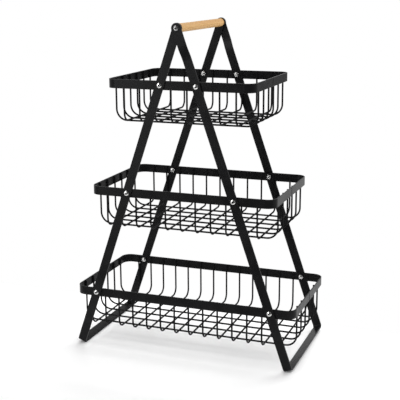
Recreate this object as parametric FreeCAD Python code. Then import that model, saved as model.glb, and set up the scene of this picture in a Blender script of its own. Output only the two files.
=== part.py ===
import FreeCAD, Part
import math
import os

# A three-tier wire basket on an A-shaped stand of flat steel strap, carried by a wooden grip.
# Millimetres. X runs along the baskets, Y from front to back, Z up from the floor.
# The origin is on the floor, below the middle of the grip.

# Stand
handle_height = 591.0
strap_width = 16.0
strap_thickness = 3.0
eye_radius = 9.0
eye_neck_radius = 12.0
rolled_edge = 0.4
foot_bend = 4.0
foot_flat = 0.4
joggle_margin = 8.0
joggle_length = 24.0

# Tiers
floor_clearance = 34.6
top_tier_drop = 97.0
rim_depth = 218.0
top_rim_length = 273.0
middle_rim_length = 348.0
bottom_rim_length = 422.0
rim_corner_radius = 18.0
band_height = 16.0
band_thickness = 2.0
band_seam = 0.3
basket_depth = 78.4
leg_bolt_inset = 43.7

# Wires
wire_diameter = 3.2
cross_wire_bend = 14.0
long_wire_bend = 20.0
wire_tip_drop = 1.0
weld_gap = 0.05
top_cross_wires = 8
middle_cross_wires = 11
bottom_cross_wires = 14
long_wires = 6

# Fasteners
bolt_diameter = 5.0
bolt_hole_clearance = 0.15
bolt_tip = 3.0
head_diameter = 9.5
head_height = 2.75
head_rim = 0.6
head_crown = 4.5
head_bulge = 0.5
socket_across_flats = 3.0
socket_depth = 1.6
nut_across_flats = 8.0
nut_thickness = 4.0
nut_chamfer = 0.5
thread_clearance = 0.05
nut_to_wire = 2.0

# Grip
grip_diameter = 15.0
grip_end_rounding = 1.0
grip_end_clearance = 0.3
grip_running_clearance = 0.05
rod_diameter = 8.0
screw_engagement = 10.0
screw_pocket = 1.0

# Places that follow from the sizes above
rim_outer_y = rim_depth / 2
rim_inner_y = rim_outer_y - band_thickness
wire_radius = wire_diameter / 2
wire_inset = band_thickness + weld_gap + wire_radius
top_rim_z = handle_height - top_tier_drop
bottom_rim_z = floor_clearance + basket_depth - band_height / 2
middle_rim_z = (top_rim_z + bottom_rim_z) / 2
leg_angle = math.atan2(bottom_rim_length / 2 - leg_bolt_inset, handle_height - bottom_rim_z)
leg_angle_degrees = math.degrees(leg_angle)
leg_foot = (handle_height + foot_flat - strap_width / 2 * math.sin(leg_angle)) / math.cos(leg_angle)
joggle_start = strap_width / 2 / math.tan(leg_angle) + joggle_margin
strap_middle_y = rim_outer_y + strap_thickness / 2
bolt_hole_radius = bolt_diameter / 2 + bolt_hole_clearance
shortest_edge = 0.000001

TIERS = {
    "top": (top_rim_z, top_rim_length, top_cross_wires),
    "middle": (middle_rim_z, middle_rim_length, middle_cross_wires),
    "bottom": (bottom_rim_z, bottom_rim_length, bottom_cross_wires),
}

ALONG_X = FreeCAD.Vector(1, 0, 0)
ALONG_Y = FreeCAD.Vector(0, 1, 0)
ALONG_Z = FreeCAD.Vector(0, 0, 1)


def point(x, y, z):
    return FreeCAD.Vector(x, y, z)


def leg_bolt_x(rim_z):
    """How far from the middle a leg's centre line passes a rim."""
    return (handle_height - rim_z) * math.tan(leg_angle)


def rounded_path(corners, radii):
    """Edges through the corners, each inner corner turned into an arc of its own radius."""
    edges = []
    start = corners[0]
    for before, corner, after, radius in zip(corners, corners[1:], corners[2:], radii):
        into = (corner - before).normalize()
        away = (after - corner).normalize()
        turn = into.getAngle(away)
        reach = radius * math.tan(turn / 2)
        first = corner - into * reach
        last = corner + away * reach
        bisector = (away - into).normalize()
        middle = corner + bisector * (radius / math.cos(turn / 2) - radius)
        if (first - start).Length > shortest_edge:
            edges.append(Part.LineSegment(start, first).toShape())
        edges.append(Part.Arc(first, middle, last).toShape())
        start = last
    edges.append(Part.LineSegment(start, corners[-1]).toShape())
    return edges


def strap_centre_line(joggled):
    """The bent strap seen square to its edge: local Z runs up the leg, 0 at the eye."""
    foot_z = -(leg_foot - strap_thickness / 2)
    bend = foot_bend + strap_thickness / 2
    top_y = strap_middle_y
    top_z = 2 * eye_radius
    half = [point(0, top_y, top_z)]
    radii = []
    if joggled:
        top_y = strap_middle_y + strap_thickness
        slant = 2 * math.atan2(strap_thickness, joggle_length)
        joggle_radius = joggle_length / 2 / math.sin(slant)
        first_turn = joggle_start + joggle_radius * math.tan(slant / 2)
        last_turn = joggle_start + joggle_length - joggle_radius * math.tan(slant / 2)
        half = [
            point(0, top_y, top_z),
            point(0, top_y, -first_turn),
            point(0, strap_middle_y, -last_turn),
        ]
        radii = [joggle_radius, joggle_radius]
    half.append(point(0, strap_middle_y, foot_z))
    radii.append(bend)
    other_half = [point(0, -p.y, p.z) for p in reversed(half)]
    return half + other_half, radii + radii[::-1]


def bent_strap(joggled):
    """A strap of even thickness along its centre line, wide enough for the eyes."""
    corners, radii = strap_centre_line(joggled)
    path = Part.Wire(rounded_path(corners, radii))
    half_width = eye_radius
    half_thick = strap_thickness / 2
    start = corners[0]
    section = Part.makePolygon([
        start + point(-half_width, -half_thick, 0),
        start + point(half_width, -half_thick, 0),
        start + point(half_width, half_thick, 0),
        start + point(-half_width, half_thick, 0),
        start + point(-half_width, -half_thick, 0),
    ])
    return path.makePipeShell([section], True, True)


def strap_outline():
    """The strap's face: straight edges that swell through a hollow curve into a round eye."""
    half_width = strap_width / 2
    far = eye_radius + eye_neck_radius
    neck_x = half_width + eye_neck_radius
    neck_z = -math.sqrt(far ** 2 - neck_x ** 2)
    share = eye_radius / far
    eye_x = neck_x * share
    eye_z = neck_z * share
    lean = math.atan2(-neck_z, neck_x) / 2
    mid_x = neck_x - eye_neck_radius * math.cos(lean)
    mid_z = neck_z + eye_neck_radius * math.sin(lean)
    low = -(leg_foot + strap_thickness)
    edges = [
        Part.LineSegment(point(-half_width, 0, low), point(half_width, 0, low)).toShape(),
        Part.LineSegment(point(half_width, 0, low), point(half_width, 0, neck_z)).toShape(),
        Part.Arc(point(half_width, 0, neck_z), point(mid_x, 0, mid_z), point(eye_x, 0, eye_z)).toShape(),
        Part.Arc(point(eye_x, 0, eye_z), point(0, 0, eye_radius), point(-eye_x, 0, eye_z)).toShape(),
        Part.Arc(point(-eye_x, 0, eye_z), point(-mid_x, 0, mid_z), point(-half_width, 0, neck_z)).toShape(),
        Part.LineSegment(point(-half_width, 0, neck_z), point(-half_width, 0, low)).toShape(),
    ]
    reach = rim_depth / 2 + 3 * strap_thickness
    face = Part.Face(Part.Wire(edges))
    face.translate(point(0, -reach, 0))
    return face.extrude(point(0, 2 * reach, 0))


def through_hole(x, z, radius):
    """A long cylinder from front to back, to cut holes in line."""
    reach = rim_depth
    return Part.makeCylinder(radius, 2 * reach, point(x, -reach, z), ALONG_Y)


def long_strap_edges(strap):
    """The edges that run along a bent strap, without those across its width or its thickness."""
    kept = []
    for edge in strap.Edges:
        box = edge.BoundBox
        across_width = max(box.YLength, box.ZLength) < shortest_edge
        across_thickness = max(box.XLength, box.ZLength) < shortest_edge and edge.Length < strap_width
        if not across_width and not across_thickness:
            kept.append(edge)
    return kept


def stand_frame(side, joggled):
    """One bent strap: front leg, foot and back leg. side is -1 on the left and 1 on the right."""
    strap = bent_strap(joggled).common(strap_outline())
    frame = strap.makeFillet(rolled_edge, long_strap_edges(strap))
    frame.rotate(point(0, 0, 0), ALONG_Y, -side * leg_angle_degrees)
    frame.translate(point(0, 0, handle_height))
    cutters = [through_hole(0, handle_height, bolt_hole_radius)]
    for rim_z, _, _ in TIERS.values():
        cutters.append(through_hole(side * leg_bolt_x(rim_z), rim_z, bolt_hole_radius))
    reach = bottom_rim_length
    under_floor = Part.makeBox(2 * reach, 2 * reach, strap_width, point(-reach, -reach, -strap_width))
    cutters.append(under_floor)
    return frame.cut(cutters)


def rounded_rectangle(length, depth, radius):
    """A flat face with rounded corners, centred on the Z axis."""
    x = length / 2
    y = depth / 2
    seam = point(0, -y, 0)
    corners = [seam, point(x, -y, 0), point(x, y, 0), point(-x, y, 0), point(-x, -y, 0), seam]
    return Part.Face(Part.Wire(rounded_path(corners, [radius] * 4)))


def rim(rim_z, length):
    """A band bent to a rounded rectangle, butted at the middle of its right end."""
    outer = rounded_rectangle(length, rim_depth, rim_corner_radius)
    inner = rounded_rectangle(
        length - 2 * band_thickness, rim_depth - 2 * band_thickness, rim_corner_radius - band_thickness)
    flat_band = outer.cut(inner).extrude(point(0, 0, band_height))
    level_edges = [edge for edge in flat_band.Edges if edge.BoundBox.ZLength < shortest_edge]
    band = flat_band.makeFillet(rolled_edge, level_edges)
    band.translate(point(0, 0, rim_z - band_height / 2))
    seam = Part.makeBox(
        3 * band_thickness, band_seam, 2 * band_height,
        point(length / 2 - 2 * band_thickness, -band_seam / 2, rim_z - band_height))
    x = leg_bolt_x(rim_z)
    cutters = [seam] + [through_hole(side * x, rim_z, bolt_hole_radius) for side in (-1, 1)]
    return band.cut(cutters)


def bent_wire(corners, bend):
    """A round wire bent to a U, from tip to tip."""
    path = Part.Wire(rounded_path(corners, [bend] * (len(corners) - 2)))
    tip = Part.makeCircle(wire_radius, corners[0], ALONG_Z)
    return path.makePipeShell([Part.Wire(tip)], True, True)


def even_places(span, count):
    """Places that divide a span into count + 1 equal bays."""
    bay = span / (count + 1)
    return [bay * (index + 1) - span / 2 for index in range(count)]


def clear_of_bolts(x, bolt_x):
    """Moves a wire aside where a nut would meet it."""
    least = nut_across_flats / math.sqrt(3) + wire_radius + nut_to_wire
    for side in (-1, 1):
        gap = x - side * bolt_x
        if abs(gap) < least:
            return side * bolt_x + math.copysign(least, gap)
    return x


def cross_wires(rim_z, length, count):
    """Wires that run down the front, across the basket's floor and up the back."""
    tip_z = rim_z + band_height / 2 - wire_tip_drop
    low_z = rim_z + band_height / 2 - basket_depth + wire_radius + wire_diameter + weld_gap
    y = rim_outer_y - wire_inset
    bolt_x = leg_bolt_x(rim_z)
    wires = []
    for place in even_places(length - 2 * wire_inset, count):
        x = clear_of_bolts(place, bolt_x)
        front = [point(x, -y, tip_z), point(x, -y, low_z)]
        back = [point(x, y, low_z), point(x, y, tip_z)]
        wires.append(bent_wire(front + back, cross_wire_bend))
    return Part.makeCompound(wires)


def lengthwise_wires(rim_z, length):
    """Wires that run down one end, along the basket under the cross wires and up the other end."""
    tip_z = rim_z + band_height / 2 - wire_tip_drop
    low_z = rim_z + band_height / 2 - basket_depth + wire_radius
    x = length / 2 - wire_inset
    wires = []
    for y in even_places(rim_depth - 2 * wire_inset, long_wires):
        left = [point(-x, y, tip_z), point(-x, y, low_z)]
        right = [point(x, y, low_z), point(x, y, tip_z)]
        wires.append(bent_wire(left + right, long_wire_bend))
    return Part.makeCompound(wires)


def hexagon(across_flats, height):
    """A hexagonal prism standing on the XY plane."""
    radius = across_flats / math.sqrt(3)
    corners = []
    for index in range(7):
        angle = math.radians(60 * index)
        corners.append(point(radius * math.cos(angle), radius * math.sin(angle), 0))
    return Part.Face(Part.makePolygon(corners)).extrude(point(0, 0, height))


def button_screw(shank_length):
    """A button-head screw with a hexagonal socket: seat at Z = 0, shank downwards."""
    half_head = head_diameter / 2
    half_crown = head_crown / 2
    shank = bolt_diameter / 2
    dome_low = point(half_head, 0, head_rim)
    dome_high = point(half_crown, 0, head_height)
    outwards = point(head_height - head_rim, 0, half_head - half_crown).normalize()
    dome_middle = (dome_low + dome_high) / 2 + outwards * head_bulge
    edges = [
        Part.LineSegment(point(0, 0, -shank_length), point(shank, 0, -shank_length)).toShape(),
        Part.LineSegment(point(shank, 0, -shank_length), point(shank, 0, 0)).toShape(),
        Part.LineSegment(point(shank, 0, 0), point(half_head, 0, 0)).toShape(),
        Part.LineSegment(point(half_head, 0, 0), dome_low).toShape(),
        Part.Arc(dome_low, dome_middle, dome_high).toShape(),
        Part.LineSegment(dome_high, point(0, 0, head_height)).toShape(),
        Part.LineSegment(point(0, 0, head_height), point(0, 0, -shank_length)).toShape(),
    ]
    screw = Part.Face(Part.Wire(edges)).revolve(point(0, 0, 0), ALONG_Z, 360)
    socket = hexagon(socket_across_flats, head_height)
    socket.translate(point(0, 0, head_height - socket_depth))
    return screw.cut(socket)


def hex_nut():
    """A hexagonal nut with its corners turned off: face at Z = 0, body upwards."""
    nut = hexagon(nut_across_flats, nut_thickness)
    corner = nut_across_flats / math.sqrt(3)
    flat = nut_across_flats / 2
    outline = Part.makePolygon([
        point(0, 0, 0),
        point(corner, 0, 0),
        point(corner, 0, nut_thickness - nut_chamfer),
        point(flat, 0, nut_thickness),
        point(0, 0, nut_thickness),
        point(0, 0, 0),
    ])
    turned = Part.Face(outline).revolve(point(0, 0, 0), ALONG_Z, 360)
    bore = Part.makeCylinder(bolt_diameter / 2 + thread_clearance, nut_thickness)
    return nut.common(turned).cut(bore)


def facing(shape, face, x, y, z):
    """Turns a fastener so that its +Z points out of the front (-1) or the back (1), and places it."""
    placed = shape.copy()
    placed.rotate(point(0, 0, 0), ALONG_X, -90 * face)
    placed.translate(point(x, y, z))
    return placed


def rim_bolts(rim_z):
    """Four bolts through the legs and the band, heads outside."""
    bolt = button_screw(strap_thickness + band_thickness + nut_thickness + bolt_tip)
    seat_y = rim_outer_y + strap_thickness
    x = leg_bolt_x(rim_z)
    return Part.makeCompound(
        [facing(bolt, face, side * x, face * seat_y, rim_z) for face in (-1, 1) for side in (-1, 1)])


def rim_nuts(rim_z):
    """Four nuts on the inside of the band."""
    nut = hex_nut()
    x = leg_bolt_x(rim_z)
    return Part.makeCompound(
        [facing(nut, -face, side * x, face * rim_inner_y, rim_z) for face in (-1, 1) for side in (-1, 1)])


def handle_screws():
    """One screw at each end of the handle, through both eyes into the rod."""
    screw = button_screw(2 * strap_thickness + screw_engagement)
    seat_y = rim_outer_y + 2 * strap_thickness
    return Part.makeCompound([facing(screw, face, 0, face * seat_y, handle_height) for face in (-1, 1)])


def handle_rod():
    """The steel rod between the eyes, tapped at both ends."""
    rod = Part.makeCylinder(rod_diameter / 2, rim_depth, point(0, -rim_outer_y, handle_height), ALONG_Y)
    depth = screw_engagement + screw_pocket
    bore = bolt_diameter / 2 + thread_clearance
    front = Part.makeCylinder(bore, depth, point(0, -rim_outer_y, handle_height), ALONG_Y)
    back = Part.makeCylinder(bore, depth, point(0, rim_outer_y - depth, handle_height), ALONG_Y)
    return rod.cut([front, back])


def wood_grip():
    """The turned wooden grip, bored to run on the rod, with eased ends."""
    length = rim_depth - 2 * grip_end_clearance
    radius = grip_diameter / 2
    bore = rod_diameter / 2 + grip_running_clearance
    corners = [
        point(bore, 0, 0),
        point(radius, 0, 0),
        point(radius, 0, length),
        point(bore, 0, length),
    ]
    section = rounded_path(corners, [grip_end_rounding] * 2)
    section.append(Part.LineSegment(corners[-1], corners[0]).toShape())
    grip = Part.Face(Part.Wire(section)).revolve(point(0, 0, 0), ALONG_Z, 360)
    grip.rotate(point(0, 0, 0), ALONG_X, -90)
    grip.translate(point(0, -length / 2, handle_height))
    return grip


def all_nodes():
    """Every node's name and shape."""
    nodes = {
        "left_frame": stand_frame(-1, False),
        "right_frame": stand_frame(1, True),
        "wood_grip": wood_grip(),
        "handle_rod": handle_rod(),
        "handle_screws": handle_screws(),
    }
    for tier, (rim_z, length, count) in TIERS.items():
        nodes[f"{tier}_rim"] = rim(rim_z, length)
        nodes[f"{tier}_cross_wires"] = cross_wires(rim_z, length, count)
        nodes[f"{tier}_long_wires"] = lengthwise_wires(rim_z, length)
        nodes[f"{tier}_rim_bolts"] = rim_bolts(rim_z)
        nodes[f"{tier}_rim_nuts"] = rim_nuts(rim_z)
    return nodes


os.makedirs("parts", exist_ok=True)
for name, shape in all_nodes().items():
    shape.exportStep(f"parts/{name}.step")
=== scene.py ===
import math
import random

import bpy
import numpy as np
from mathutils import Matrix, Vector


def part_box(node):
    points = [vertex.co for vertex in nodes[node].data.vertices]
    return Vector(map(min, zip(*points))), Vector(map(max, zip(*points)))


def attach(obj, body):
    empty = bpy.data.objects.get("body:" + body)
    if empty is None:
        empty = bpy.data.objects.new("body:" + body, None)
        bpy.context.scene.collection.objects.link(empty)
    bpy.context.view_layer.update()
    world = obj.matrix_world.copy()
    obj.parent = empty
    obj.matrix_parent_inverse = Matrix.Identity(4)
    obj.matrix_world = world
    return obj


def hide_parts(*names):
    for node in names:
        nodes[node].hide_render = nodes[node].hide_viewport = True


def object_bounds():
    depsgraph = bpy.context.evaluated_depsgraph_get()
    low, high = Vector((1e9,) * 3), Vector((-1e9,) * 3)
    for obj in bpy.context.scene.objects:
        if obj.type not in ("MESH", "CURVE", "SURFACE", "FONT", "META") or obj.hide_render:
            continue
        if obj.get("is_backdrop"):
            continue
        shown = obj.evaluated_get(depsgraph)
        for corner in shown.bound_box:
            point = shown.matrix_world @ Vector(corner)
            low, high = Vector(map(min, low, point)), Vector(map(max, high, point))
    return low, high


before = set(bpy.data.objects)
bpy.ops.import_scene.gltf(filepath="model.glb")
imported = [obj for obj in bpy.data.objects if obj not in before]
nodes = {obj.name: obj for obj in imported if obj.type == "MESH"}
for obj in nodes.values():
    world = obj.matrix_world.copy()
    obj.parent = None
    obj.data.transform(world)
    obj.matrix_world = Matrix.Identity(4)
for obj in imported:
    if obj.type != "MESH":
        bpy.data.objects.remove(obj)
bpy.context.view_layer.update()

# Looks of the tiered wire basket: metres, the CAD model's own frame.
MM = 0.001
TIERS = ("top", "middle", "bottom")
STAND = "stand"
dice = random.Random(7)

# Sizes that the CAD nodes have and that the added details need
wire_radius = 1.6 * MM
band_thickness = 2.0 * MM
grip_height = 591.0 * MM
head_radius = 4.75 * MM
head_height = 2.75 * MM
head_rim = 0.6 * MM
crown_radius = 2.25 * MM
head_bulge = 0.5 * MM
socket_flat = 1.5 * MM
socket_depth = 1.6 * MM
shank_radius = 2.5 * MM
rim_shank = 12.0 * MM
handle_shank = 16.0 * MM


# Shader helpers

def set_range(node, low, high, to_low, to_high):
    """Gives a map-range node the span that it reads and the span that it writes."""
    for name, number in (("From Min", low), ("From Max", high), ("To Min", to_low), ("To Max", to_high)):
        node.inputs[name].default_value = number


class Finish:
    """A material with one principled shader, and short calls to add nodes to it."""

    def __init__(self, name):
        self.material = bpy.data.materials.new(name)
        self.material.use_nodes = True
        self.tree = self.material.node_tree
        self.shader = self.tree.nodes["Principled BSDF"]
        self.place = self.node("ShaderNodeTexCoord").outputs["Object"]

    def node(self, kind, **settings):
        made = self.tree.nodes.new(kind)
        for name, value in settings.items():
            setattr(made, name, value)
        return made

    def wire(self, socket, value):
        """Links a socket to another one, or sets it to a constant."""
        if isinstance(value, bpy.types.NodeSocket):
            self.tree.links.new(value, socket)
        else:
            socket.default_value = value

    def set(self, **values):
        """Sets or links sockets of the shader; spaces in socket names are written as underscores."""
        for name, value in values.items():
            self.wire(self.shader.inputs[name.replace("_", " ")], value)

    def stretched(self, x, y, z, vector=None):
        scaled = self.node("ShaderNodeVectorMath", operation="MULTIPLY")
        self.wire(scaled.inputs[0], vector or self.place)
        scaled.inputs[1].default_value = (x, y, z)
        return scaled.outputs[0]

    def noise(self, scale, detail=2.0, roughness=0.5, vector=None):
        made = self.node("ShaderNodeTexNoise")
        self.wire(made.inputs["Vector"], vector or self.place)
        made.inputs["Scale"].default_value = scale
        made.inputs["Detail"].default_value = detail
        made.inputs["Roughness"].default_value = roughness
        return made.outputs["Fac"]

    def spread(self, value, low, high, to_low=0.0, to_high=1.0):
        made = self.node("ShaderNodeMapRange", interpolation_type="SMOOTHSTEP")
        self.wire(made.inputs["Value"], value)
        set_range(made, low, high, to_low, to_high)
        return made.outputs["Result"]

    def math(self, operation, a, b=0.0):
        made = self.node("ShaderNodeMath", operation=operation)
        self.wire(made.inputs[0], a)
        self.wire(made.inputs[1], b)
        return made.outputs[0]

    def mix(self, share, a, b):
        made = self.node("ShaderNodeMix", data_type="RGBA")
        self.wire(made.inputs["Factor"], share)
        for socket, value in ((made.inputs[6], a), (made.inputs[7], b)):
            self.wire(socket, value if isinstance(value, bpy.types.NodeSocket) else (*value, 1.0))
        return made.outputs[2]

    def ramp(self, value, *stops):
        made = self.node("ShaderNodeValToRGB")
        self.wire(made.inputs["Fac"], value)
        points = made.color_ramp.elements
        while len(points) < len(stops):
            points.new(0.5)
        for point, (at, colour) in zip(points, stops):
            point.position = at
            point.color = (*colour, 1.0)
        return made.outputs["Color"]

    def bump(self, height, strength, distance, under=None):
        made = self.node("ShaderNodeBump")
        made.inputs["Strength"].default_value = strength
        made.inputs["Distance"].default_value = distance
        self.wire(made.inputs["Height"], height)
        if under is not None:
            self.wire(made.inputs["Normal"], under)
        return made.outputs["Normal"]

    def normal_part(self, axis):
        """The size of the surface normal's part along one axis."""
        split = self.node("ShaderNodeSeparateXYZ")
        self.wire(split.inputs[0], self.node("ShaderNodeNewGeometry").outputs["Normal"])
        return self.math("ABSOLUTE", split.outputs[axis])


# Materials

def black_coat(name, smooth, worn, shine, edge_axis=None):
    """Satin black powder coat, rubbed on the edges where a face turns towards edge_axis."""
    deep = (0.0084, 0.0084, 0.0089)
    faded = (0.0122, 0.0122, 0.0127)
    dusty = (0.022, 0.0215, 0.021)
    rubbed_grey = (0.03, 0.0295, 0.029)
    coat = Finish(name)
    broad = coat.noise(38, 3.0)
    cloud = coat.noise(9, 2.0)
    peel = coat.noise(900, 2.0, 0.45)
    grit = coat.noise(3400, 1.0)
    colour = coat.ramp(broad, (0.3, deep), (0.7, faded))
    rough = coat.spread(coat.math("ADD", broad, cloud), 0.7, 1.3, smooth, worn)
    dust = coat.spread(coat.noise(520, 3.0, 0.6), 0.66, 0.74)
    colour = coat.mix(coat.math("MULTIPLY", dust, 0.35), colour, dusty)
    if edge_axis is not None:
        part = coat.normal_part(edge_axis)
        turned = coat.math("MULTIPLY", part, coat.math("SUBTRACT", 1.0, part))
        edge = coat.spread(turned, 0.1, 0.22)
        patchy = coat.spread(coat.noise(120, 4.0, 0.6), 0.5, 0.68)
        rubbed = coat.math("MULTIPLY", edge, patchy)
        colour = coat.mix(coat.math("MULTIPLY", rubbed, 0.6), colour, rubbed_grey)
        rough = coat.math("ADD", rough, coat.math("MULTIPLY", rubbed, 0.1))
    coat.set(Base_Color=colour, Roughness=rough, Specular_IOR_Level=shine)
    waves = coat.bump(peel, 0.16, 0.12 * MM)
    coat.set(Normal=coat.bump(grit, 0.05, 0.05 * MM, waves))
    return coat.material


def pale_wood():
    """A turned dowel of pale beech: rings round a pith outside it, fibres along it, short dark flecks."""
    pith_aside = 21.0 * MM
    pith_below = 34.0 * MM
    early_wood = (0.705, 0.422, 0.16)
    late_wood = (0.638, 0.36, 0.128)
    pale_streak = (0.748, 0.474, 0.198)
    fibre_brown = (0.538, 0.283, 0.09)
    fleck_brown = (0.37, 0.185, 0.06)
    pore_brown = (0.36, 0.18, 0.07)
    wood = Finish("pale_beech")
    pith = wood.node("ShaderNodeVectorMath", operation="ADD")
    wood.wire(pith.inputs[0], wood.place)
    pith.inputs[1].default_value = (pith_aside, 0.0, pith_below - grip_height)
    rings = wood.node("ShaderNodeTexWave", wave_type="RINGS", rings_direction="Y")
    wood.wire(rings.inputs["Vector"], wood.stretched(1, 0.06, 1, pith.outputs[0]))
    for name, value in (("Scale", 118), ("Distortion", 3.2), ("Detail", 2.0), ("Detail Scale", 0.7)):
        rings.inputs[name].default_value = value
    fibre = wood.noise(1, 4.0, 0.62, wood.stretched(1500, 22, 1500))
    broad = wood.noise(1, 2.0, 0.5, wood.stretched(160, 7, 160))
    fleck = wood.noise(1, 1.0, 0.4, wood.stretched(2100, 170, 2100))
    pore = wood.noise(1, 0.0, 0.5, wood.stretched(5200, 420, 5200))
    colour = wood.ramp(rings.outputs["Fac"], (0.1, early_wood), (0.85, late_wood))
    colour = wood.mix(wood.spread(broad, 0.35, 0.7, 0.0, 0.45), colour, pale_streak)
    colour = wood.mix(wood.spread(fibre, 0.42, 0.72, 0.0, 0.5), colour, fibre_brown)
    colour = wood.mix(wood.spread(fleck, 0.66, 0.74, 0.0, 0.55), colour, fleck_brown)
    colour = wood.mix(wood.spread(pore, 0.7, 0.78, 0.0, 0.4), colour, pore_brown)
    rough = wood.spread(fibre, 0.3, 0.7, 0.42, 0.56)
    wood.set(Base_Color=colour, Roughness=rough, Specular_IOR_Level=0.35)
    grain = wood.bump(fibre, 0.22, 0.12 * MM)
    wood.set(Normal=wood.bump(wood.math("SUBTRACT", 1.0, pore), 0.12, 0.08 * MM, grain))
    return wood.material


def plated_steel(name, dull, bright, smooth, worn, painted_shade_radius=None):
    """Plated steel with turning marks round each fastener's axis and fine handling scratches.

    Inside the given radius, in the sockets, the colour is painted dark: painted shade for the deep
    recess.
    """
    # Near-black painted shade for the insides of the sockets
    socket_painted_shade = (0.014, 0.014, 0.015)
    marks_per_metre = 9000.0
    steel = Finish(name)
    radius = steel.node("ShaderNodeAttribute", attribute_name="from_axis").outputs["Fac"]
    turning = steel.node("ShaderNodeTexNoise", noise_dimensions="1D")
    steel.wire(turning.inputs["W"], steel.math("MULTIPLY", radius, marks_per_metre))
    turning.inputs["Scale"].default_value = 1.0
    turning.inputs["Detail"].default_value = 2.0
    cloud = steel.noise(260, 3.0, 0.6)
    scratch = steel.noise(1, 2.0, 0.7, steel.stretched(2600, 2600, 300))
    colour = steel.ramp(cloud, (0.25, (dull, dull, 0.98 * dull)), (0.75, (bright, bright, 0.99 * bright)))
    rough = steel.spread(cloud, 0.3, 0.7, smooth, worn)
    # Painted shade: within the socket's radius the colour goes to near-black, as the shade of the recess
    if painted_shade_radius is not None:
        socket_shade_mask = steel.spread(radius, 0.92 * painted_shade_radius, 1.04 * painted_shade_radius, 1.0, 0.0)
        colour = steel.mix(socket_shade_mask, colour, socket_painted_shade)
        rough = steel.math("ADD", rough, steel.math("MULTIPLY", socket_shade_mask, 0.3))
    steel.set(Base_Color=colour, Roughness=rough, Metallic=1.0)
    lathe = steel.bump(turning.outputs["Fac"], 0.12, 0.03 * MM)
    steel.set(Normal=steel.bump(scratch, 0.06, 0.02 * MM, lathe))
    return steel.material


def pale_floor():
    """A matt white table top with a faint tooth."""
    floor = Finish("pale_floor")
    tone = floor.noise(3, 3.0)
    colour = floor.ramp(tone, (0.3, (0.94, 0.94, 0.94)), (0.7, (0.96, 0.96, 0.96)))
    floor.set(Base_Color=colour, Roughness=0.8, Specular_IOR_Level=0.1)
    floor.set(Normal=floor.bump(floor.noise(700, 2.0), 0.03, 0.1 * MM))
    return floor.material


def self_lit_white():
    """An even white ground round the table, so that no edge of the table shows."""
    ground = Finish("white_ground")
    ground.set(Base_Color=(0.0, 0.0, 0.0, 1.0), Specular_IOR_Level=0.0)
    ground.set(Emission_Color=(1.0, 1.0, 1.0, 1.0), Emission_Strength=1.0)
    ground.material.cycles.emission_sampling = "NONE"
    return ground.material


coat_band = black_coat("coat_on_band", 0.2, 0.29, 0.065, "Z")
coat_strap = black_coat("coat_on_strap", 0.22, 0.31, 0.08, "Y")
coat_wire = black_coat("coat_on_wire", 0.44, 0.54, 0.035)
beech = pale_wood()
bright_steel = plated_steel("bright_steel", 0.64, 0.78, 0.16, 0.26, socket_flat)
worn_steel = plated_steel("worn_steel", 0.22, 0.32, 0.2, 0.3, socket_flat)
dull_steel = plated_steel("dull_steel", 0.6, 0.76, 0.26, 0.38)


def dress(node, material):
    """Gives a CAD node its finished material."""
    slots = nodes[node].data.materials
    for index in range(len(slots)):
        slots[index] = material


for node_name in nodes:
    if node_name.endswith("_rim"):
        dress(node_name, coat_band)
    elif node_name.endswith("_frame"):
        dress(node_name, coat_strap)
    elif node_name.endswith("_wires"):
        dress(node_name, coat_wire)
    elif node_name == "wood_grip":
        dress(node_name, beech)
    else:
        dress(node_name, dull_steel)


# Mesh helpers

class Soup:
    """Collects placed copies of small closed meshes, to become one piece."""

    def __init__(self):
        self.points = []
        self.faces = []
        self.radii = []

    def add(self, points, faces, matrix, radii=None):
        """Adds one copy; radii are its points' distances from a fastener's axis."""
        first = len(self.points)
        self.points.extend([matrix @ Vector(point) for point in points])
        self.faces.extend([tuple(first + index for index in face) for face in faces])
        self.radii.extend(radii if radii is not None else [0.0] * len(points))

    def piece(self, name, material, sharp_angle):
        """Makes the object, with edges sharper than the angle in degrees kept sharp."""
        mesh = bpy.data.meshes.new(name)
        mesh.from_pydata(self.points, [], self.faces)
        mesh.update()
        mesh.shade_smooth()
        mesh.set_sharp_from_angle(angle=math.radians(sharp_angle))
        mesh.attributes.new("from_axis", "FLOAT", "POINT").data.foreach_set("value", self.radii)
        mesh.materials.append(material)
        made = bpy.data.objects.new(name, mesh)
        bpy.context.scene.collection.objects.link(made)
        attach(made, STAND)
        return made


def loft(rings):
    """A closed skin over rings of points, each ring the same length.

    A middle point closes each end: the first ring's comes last but one, the last ring's last.
    """
    count = len(rings[0])
    points = [point for ring in rings for point in ring]
    faces = []
    for level in range(len(rings) - 1):
        for k in range(count):
            a = level * count + k
            b = level * count + (k + 1) % count
            faces.append((a, b, b + count, a + count))
    for ring, start in ((rings[0], 0), (rings[-1], (len(rings) - 1) * count)):
        middle = sum((Vector(point) for point in ring), Vector()) / count
        points.append(tuple(middle))
        last = len(points) - 1
        for k in range(count):
            a = start + k
            b = start + (k + 1) % count
            faces.append((last, b, a) if start == 0 else (last, a, b))
    return points, faces


# Screws and bolts

RING_STEPS = 96
DOME_STEPS = 12
THREAD_ROWS = 10
screw_sharp = 40
pitch = 0.8 * MM
thread_depth = 0.42 * MM
crest_gain = 1.25
tip_chamfer = 0.6 * MM
thread_start = 8.6 * MM
edge_break = 0.12 * MM
drill_flat = 0.5 * socket_flat


def turns():
    return [2 * math.pi * k / RING_STEPS for k in range(RING_STEPS)]


def round_ring(radius, z):
    return [(radius * math.cos(a), radius * math.sin(a), z) for a in turns()]


def hexagon_radius(angle, flat):
    """How far a hexagon's side is from its middle in one direction."""
    sixth = math.pi / 3
    return flat / math.cos((angle + sixth / 2) % sixth - sixth / 2)


def hexagon_ring(flat, z):
    ring = []
    for a in turns():
        r = hexagon_radius(a, flat)
        ring.append((r * math.cos(a), r * math.sin(a), z))
    return ring


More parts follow.
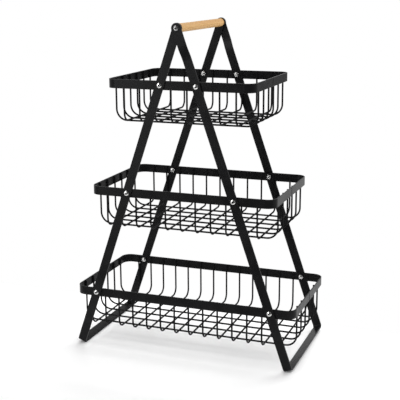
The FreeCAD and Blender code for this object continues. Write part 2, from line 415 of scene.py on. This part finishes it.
def thread_ring(z, end):
    """One ring of a right-hand thread with flat crests, turned down to a cone at the end."""
    ring = []
    limit = shank_radius - max(0.0, tip_chamfer - (z - end))
    for a in turns():
        phase = ((z / pitch) - a / (2 * math.pi)) % 1.0
        rise = 1 - abs(2 * phase - 1)
        r = shank_radius - thread_depth * (1 - min(1.0, crest_gain * rise))
        r = min(r, limit)
        ring.append((r * math.cos(a), r * math.sin(a), z))
    return ring


def dome(share):
    """A point on the head's domed profile: radius and height."""
    low = Vector((head_radius, head_rim))
    high = Vector((crown_radius, head_height))
    across = high - low
    outwards = Vector((across.y, -across.x)).normalized()
    half = across.length / 2
    big = (half ** 2 + head_bulge ** 2) / (2 * head_bulge)
    from_middle = (share - 0.5) * across.length
    sag = math.sqrt(big ** 2 - from_middle ** 2) - (big - head_bulge)
    return low + across * share + outwards * sag


def button_screw(length, threaded):
    """A button-head screw with a hexagonal socket: seat at Z = 0, shank downwards.

    Also gives each point's distance from the axis. The tip counts as shank right to its middle.
    """
    rings = []
    if threaded:
        rows = round((length - thread_start) / pitch * THREAD_ROWS)
        for row in range(rows + 1):
            rings.append(thread_ring(-length + (length - thread_start) * row / rows, -length))
    else:
        rings.append(round_ring(shank_radius - tip_chamfer, -length))
        rings.append(round_ring(shank_radius, -length + tip_chamfer))
    rings.append(round_ring(shank_radius, -thread_start + edge_break))
    rings.append(round_ring(shank_radius, 0.0))
    rings.append(round_ring(head_radius - edge_break, 0.0))
    rings.append(round_ring(head_radius, edge_break))
    for step in range(DOME_STEPS + 1):
        r, z = dome(step / DOME_STEPS)
        rings.append(round_ring(r, z))
    bottom = head_height - socket_depth
    rings.append(hexagon_ring(socket_flat + edge_break, head_height))
    rings.append(hexagon_ring(socket_flat, head_height - edge_break))
    rings.append(hexagon_ring(socket_flat, bottom))
    rings.append(hexagon_ring(drill_flat, bottom - edge_break))
    points, faces = loft(rings)
    radii = [math.hypot(x, y) for x, y, _ in points]
    tip_middle = -2
    radii[tip_middle] = shank_radius
    return points, faces, radii


def facing(face, x, y, z):
    """Turns +Z out of the front (-1) or the back (1) and places it."""
    return Matrix.Translation((x, y, z)) @ Matrix.Rotation(math.radians(-90 * face), 4, "X")


def fasteners(name, node, length, threaded, material):
    """Screws where the CAD node has its own: at the front and the back, two to a side or one midway."""
    low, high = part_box(node)
    z = (low.z + high.z) / 2
    seat = high.y - head_height
    reach = high.x - head_radius
    screw = button_screw(length, threaded)
    soup = Soup()
    for face in (-1, 1):
        for x in ((-reach, reach) if reach > head_radius else (0.0,)):
            turn = Matrix.Rotation(dice.uniform(0, math.tau), 4, "Z")
            soup.add(screw[0], screw[1], facing(face, x, face * seat, z) @ turn, screw[2])
    made = soup.piece(name, material, screw_sharp)
    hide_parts(node)


for tier in TIERS:
    fasteners(f"{tier}_button_bolts", f"{tier}_rim_bolts", rim_shank, True, bright_steel)
fasteners("handle_button_screws", "handle_screws", handle_shank, False, worn_steel)


# Welds, whose rings go upwards, each as a share of the outline and a share of the height

weld_sharp = 60
bead_rings = ((0.96, -0.12), (1.0, 0.08), (0.93, 0.4), (0.7, 0.78), (0.36, 0.97))
bead_sides = 16
bead_unevenness = 0.14
bead_heights = (0.85, 1.15)
rim_bead = (1.95 * MM, 1.0 * MM, 5.4 * MM)
seam_width = 0.9 * MM
seam_height = 0.45 * MM
seam_end_gap = 0.5 * MM
nugget_rings = ((0.35, -0.85), (0.8, -0.5), (1.0, 0.0), (0.8, 0.5), (0.35, 0.85))
nugget_sides = 12
nugget_unevenness = 0.12
nugget_radius = 1.45 * MM
nugget_half_height = 0.75 * MM


def groups(node, axis):
    """Middles of the separate wires of a node along one axis."""
    values = np.array([vertex.co[axis] for vertex in nodes[node].data.vertices])
    values.sort()
    cuts = np.nonzero(np.diff(values) > 2 * wire_radius)[0]
    firsts = [0, *(cuts + 1)]
    lasts = [*cuts, len(values) - 1]
    return [(values[a] + values[b]) / 2 for a, b in zip(firsts, lasts)]


def uneven(sides, most):
    """How far out an uneven outline is at each of its points, about 1."""
    return [1 + dice.uniform(-most, most) for _ in range(sides)]


def oval_ring(outline, half_x, half_y, z):
    ring = []
    for k, share in enumerate(outline):
        a = 2 * math.pi * k / len(outline)
        ring.append((share * half_x * math.cos(a), share * half_y * math.sin(a), z))
    return ring


def bead(half_width, height, half_length):
    """A long low weld bead lying on Z = 0, along Y, with an uneven outline and an even crown."""
    outline = uneven(bead_sides, bead_unevenness)
    tall = height * dice.uniform(*bead_heights)
    rings = []
    for level, (share, up) in enumerate(bead_rings):
        is_crown = level == len(bead_rings) - 1
        shares = [share * (1.0 if is_crown else out) for out in outline]
        rings.append(oval_ring(shares, half_width, half_length, up * tall))
    return loft(rings)


def nugget():
    """The flattened squeeze of metal where two wires cross."""
    outline = uneven(nugget_sides, nugget_unevenness)
    rings = []
    for share, up in nugget_rings:
        shares = [share * out for out in outline]
        rings.append(oval_ring(shares, nugget_radius, nugget_radius, up * nugget_half_height))
    return loft(rings)


def on_wall(x, y, z, normal_angle):
    """A bead's frame on an upright wall whose normal points along the angle, its length upright."""
    out = Vector((math.cos(normal_angle), math.sin(normal_angle), 0.0))
    upright = Vector((0.0, 0.0, 1.0))
    across = upright.cross(out)
    matrix = Matrix((across, upright, out)).transposed().to_4x4()
    matrix.translation = (x, y, z)
    return matrix


for tier in TIERS:
    low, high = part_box(f"{tier}_rim")
    rim_z = (low.z + high.z) / 2
    inner_x = high.x - band_thickness
    inner_y = high.y - band_thickness
    xs = groups(f"{tier}_cross_wires", 0)
    ys = groups(f"{tier}_long_wires", 1)
    contact_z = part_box(f"{tier}_cross_wires")[0].z
    walls = Soup()
    for x in xs:
        for side in (-1, 1):
            inwards = -side * math.pi / 2
            walls.add(*bead(*rim_bead), on_wall(x, side * inner_y, rim_z, inwards))
    for y in ys:
        for side in (-1, 1):
            inwards = 0.0 if side < 0 else math.pi
            walls.add(*bead(*rim_bead), on_wall(side * inner_x, y, rim_z, inwards))
    walls.piece(f"{tier}_rim_welds", coat_wire, weld_sharp)
    grid = Soup()
    for x in xs:
        for y in ys:
            grid.add(*nugget(), Matrix.Translation((x, y, contact_z)))
    grid.piece(f"{tier}_grid_welds", coat_wire, weld_sharp)
    seam = Soup()
    half = (high.z - low.z) / 2 - seam_end_gap
    seam.add(*bead(seam_width, seam_height, half), on_wall(high.x, 0.0, rim_z, 0.0))
    seam.piece(f"{tier}_seam_weld", coat_band, weld_sharp)


# Floor, light and camera

def plane(name, x, y, z):
    """A level rectangle between two values of X and two of Y."""
    corners = [(x[0], y[0], z), (x[1], y[0], z), (x[1], y[1], z), (x[0], y[1], z)]
    mesh = bpy.data.meshes.new(name)
    mesh.from_pydata(corners, [], [(0, 1, 2, 3)])
    made = bpy.data.objects.new(name, mesh)
    bpy.context.scene.collection.objects.link(made)
    return made


table_front = -0.36
table_back = 0.13
table_half = 1.0
far = 3.0
under_table = -0.4 * MM
white = self_lit_white()
for name, half, ends, level, material, in_gloss in (
        ("table", table_half, (table_front, table_back), 0.0, pale_floor(), True),
        ("ground_behind", far, (table_front, far), under_table, white, True),
        ("ground_before", far, (-far, table_front), under_table, white, False)):
    ground = plane(name, (-half, half), ends, level)
    ground.data.materials.append(material)
    ground.visible_glossy = in_gloss
    ground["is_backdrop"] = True


def studio_world():
    """White for the eye and softer for shade.

    In gloss there is a white backdrop behind, a softbox at the left, a white floor below
    and a dark room in front.
    """
    world = bpy.data.worlds.new("studio")
    world.use_nodes = True
    world.cycles.sampling_method = "NONE"
    tree = world.node_tree
    paths = tree.nodes.new("ShaderNodeLightPath").outputs
    way = tree.nodes.new("ShaderNodeSeparateXYZ")
    tree.links.new(tree.nodes.new("ShaderNodeTexCoord").outputs["Generated"], way.inputs[0])

    def even_white():
        made = tree.nodes.new("ShaderNodeBackground")
        made.inputs["Color"].default_value = (1.0, 1.0, 1.0, 1.0)
        made.inputs["Strength"].default_value = 1.0
        return made

    def graded_white(strength):
        made = even_white()
        tree.links.new(strength, made.inputs["Strength"])
        return made

    def rise(axis, low, high, dim, bright):
        made = tree.nodes.new("ShaderNodeMapRange")
        tree.links.new(way.outputs[axis], made.inputs["Value"])
        set_range(made, low, high, dim, bright)
        return made.outputs["Result"]

    def pair(operation, first, second):
        made = tree.nodes.new("ShaderNodeMath")
        made.operation = operation
        tree.links.new(first, made.inputs[0])
        tree.links.new(second, made.inputs[1])
        return made.outputs[0]

    def times(first, *others):
        value = first
        for other in others:
            value = pair("MULTIPLY", value, other)
        return value

    def either(share, first, second):
        made = tree.nodes.new("ShaderNodeMixShader")
        tree.links.new(share, made.inputs[0])
        tree.links.new(first.outputs[0], made.inputs[1])
        tree.links.new(second.outputs[0], made.inputs[2])
        return made

    behind = times(rise("Y", -0.15, 0.4, 0.1, 0.85), rise("Z", -0.12, 0.1, 0.25, 1.0))
    above_floor = rise("Z", -0.3, -0.1, 0.0, 1.0)
    beside = rise("Y", 0.3, 0.6, 1.0, 0.0)
    left = times(rise("X", -0.375, -0.5, 0.0, 9.0), rise("X", -0.5, -0.6, 1.0, 0.1), above_floor, beside)
    below = rise("Z", -0.6, -0.45, 1.5, 0.0)
    gloss = graded_white(pair("ADD", behind, pair("ADD", left, below)))
    shade = graded_white(rise("Z", 0.0, 1.0, 0.42, 1.16))
    eye = even_white()
    seen = either(paths["Is Camera Ray"], either(paths["Is Glossy Ray"], shade, gloss), eye)
    tree.links.new(seen.outputs[0], tree.nodes["World Output"].inputs["Surface"])
    bpy.context.scene.world = world


def softbox(name, place, aim, size, power):
    """A rectangular lamp that is aimed at a point and is not seen itself."""
    light = bpy.data.lights.new(name, "AREA")
    light.shape = "RECTANGLE"
    light.size, light.size_y = size
    light.energy = power
    made = bpy.data.objects.new(name, light)
    made.location = place
    made.rotation_euler = (Vector(aim) - Vector(place)).to_track_quat("-Z", "Y").to_euler()
    made.visible_camera = False
    made.visible_glossy = False
    bpy.context.scene.collection.objects.link(made)


studio_world()
softbox("back_softbox", place=(0.1, 1.45, 0.75), aim=(0.0, 0.0, 0.1), size=(2.4, 0.6), power=42)


def photo_camera():
    """The camera that the photograph's own points fit."""
    azimuth = math.radians(20.788)
    elevation = math.radians(13.62)
    roll = math.radians(-0.329)
    distance = 1.6987
    target = Vector((-0.0024, 0.0, 0.2695))
    pixels_per_radian = 908.86
    picture_width = 400
    level = math.cos(elevation)
    right = Vector((math.cos(azimuth), math.sin(azimuth), 0.0))
    back = Vector((math.sin(azimuth) * level, -math.cos(azimuth) * level, math.sin(elevation)))
    up = back.cross(right)
    tilted_right = right * math.cos(roll) + up * math.sin(roll)
    tilted_up = up * math.cos(roll) - right * math.sin(roll)
    data = bpy.data.cameras.new("photo_camera")
    data.sensor_width = 36.0
    data.lens = pixels_per_radian / picture_width * data.sensor_width
    made = bpy.data.objects.new("photo_camera", data)
    matrix = Matrix((tilted_right, tilted_up, back)).transposed().to_4x4()
    matrix.translation = target + back * distance
    made.matrix_world = matrix
    bpy.context.scene.collection.objects.link(made)
    bpy.context.scene.camera = made


photo_camera()
bpy.context.scene.view_settings.view_transform = "Standard"

low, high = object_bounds()
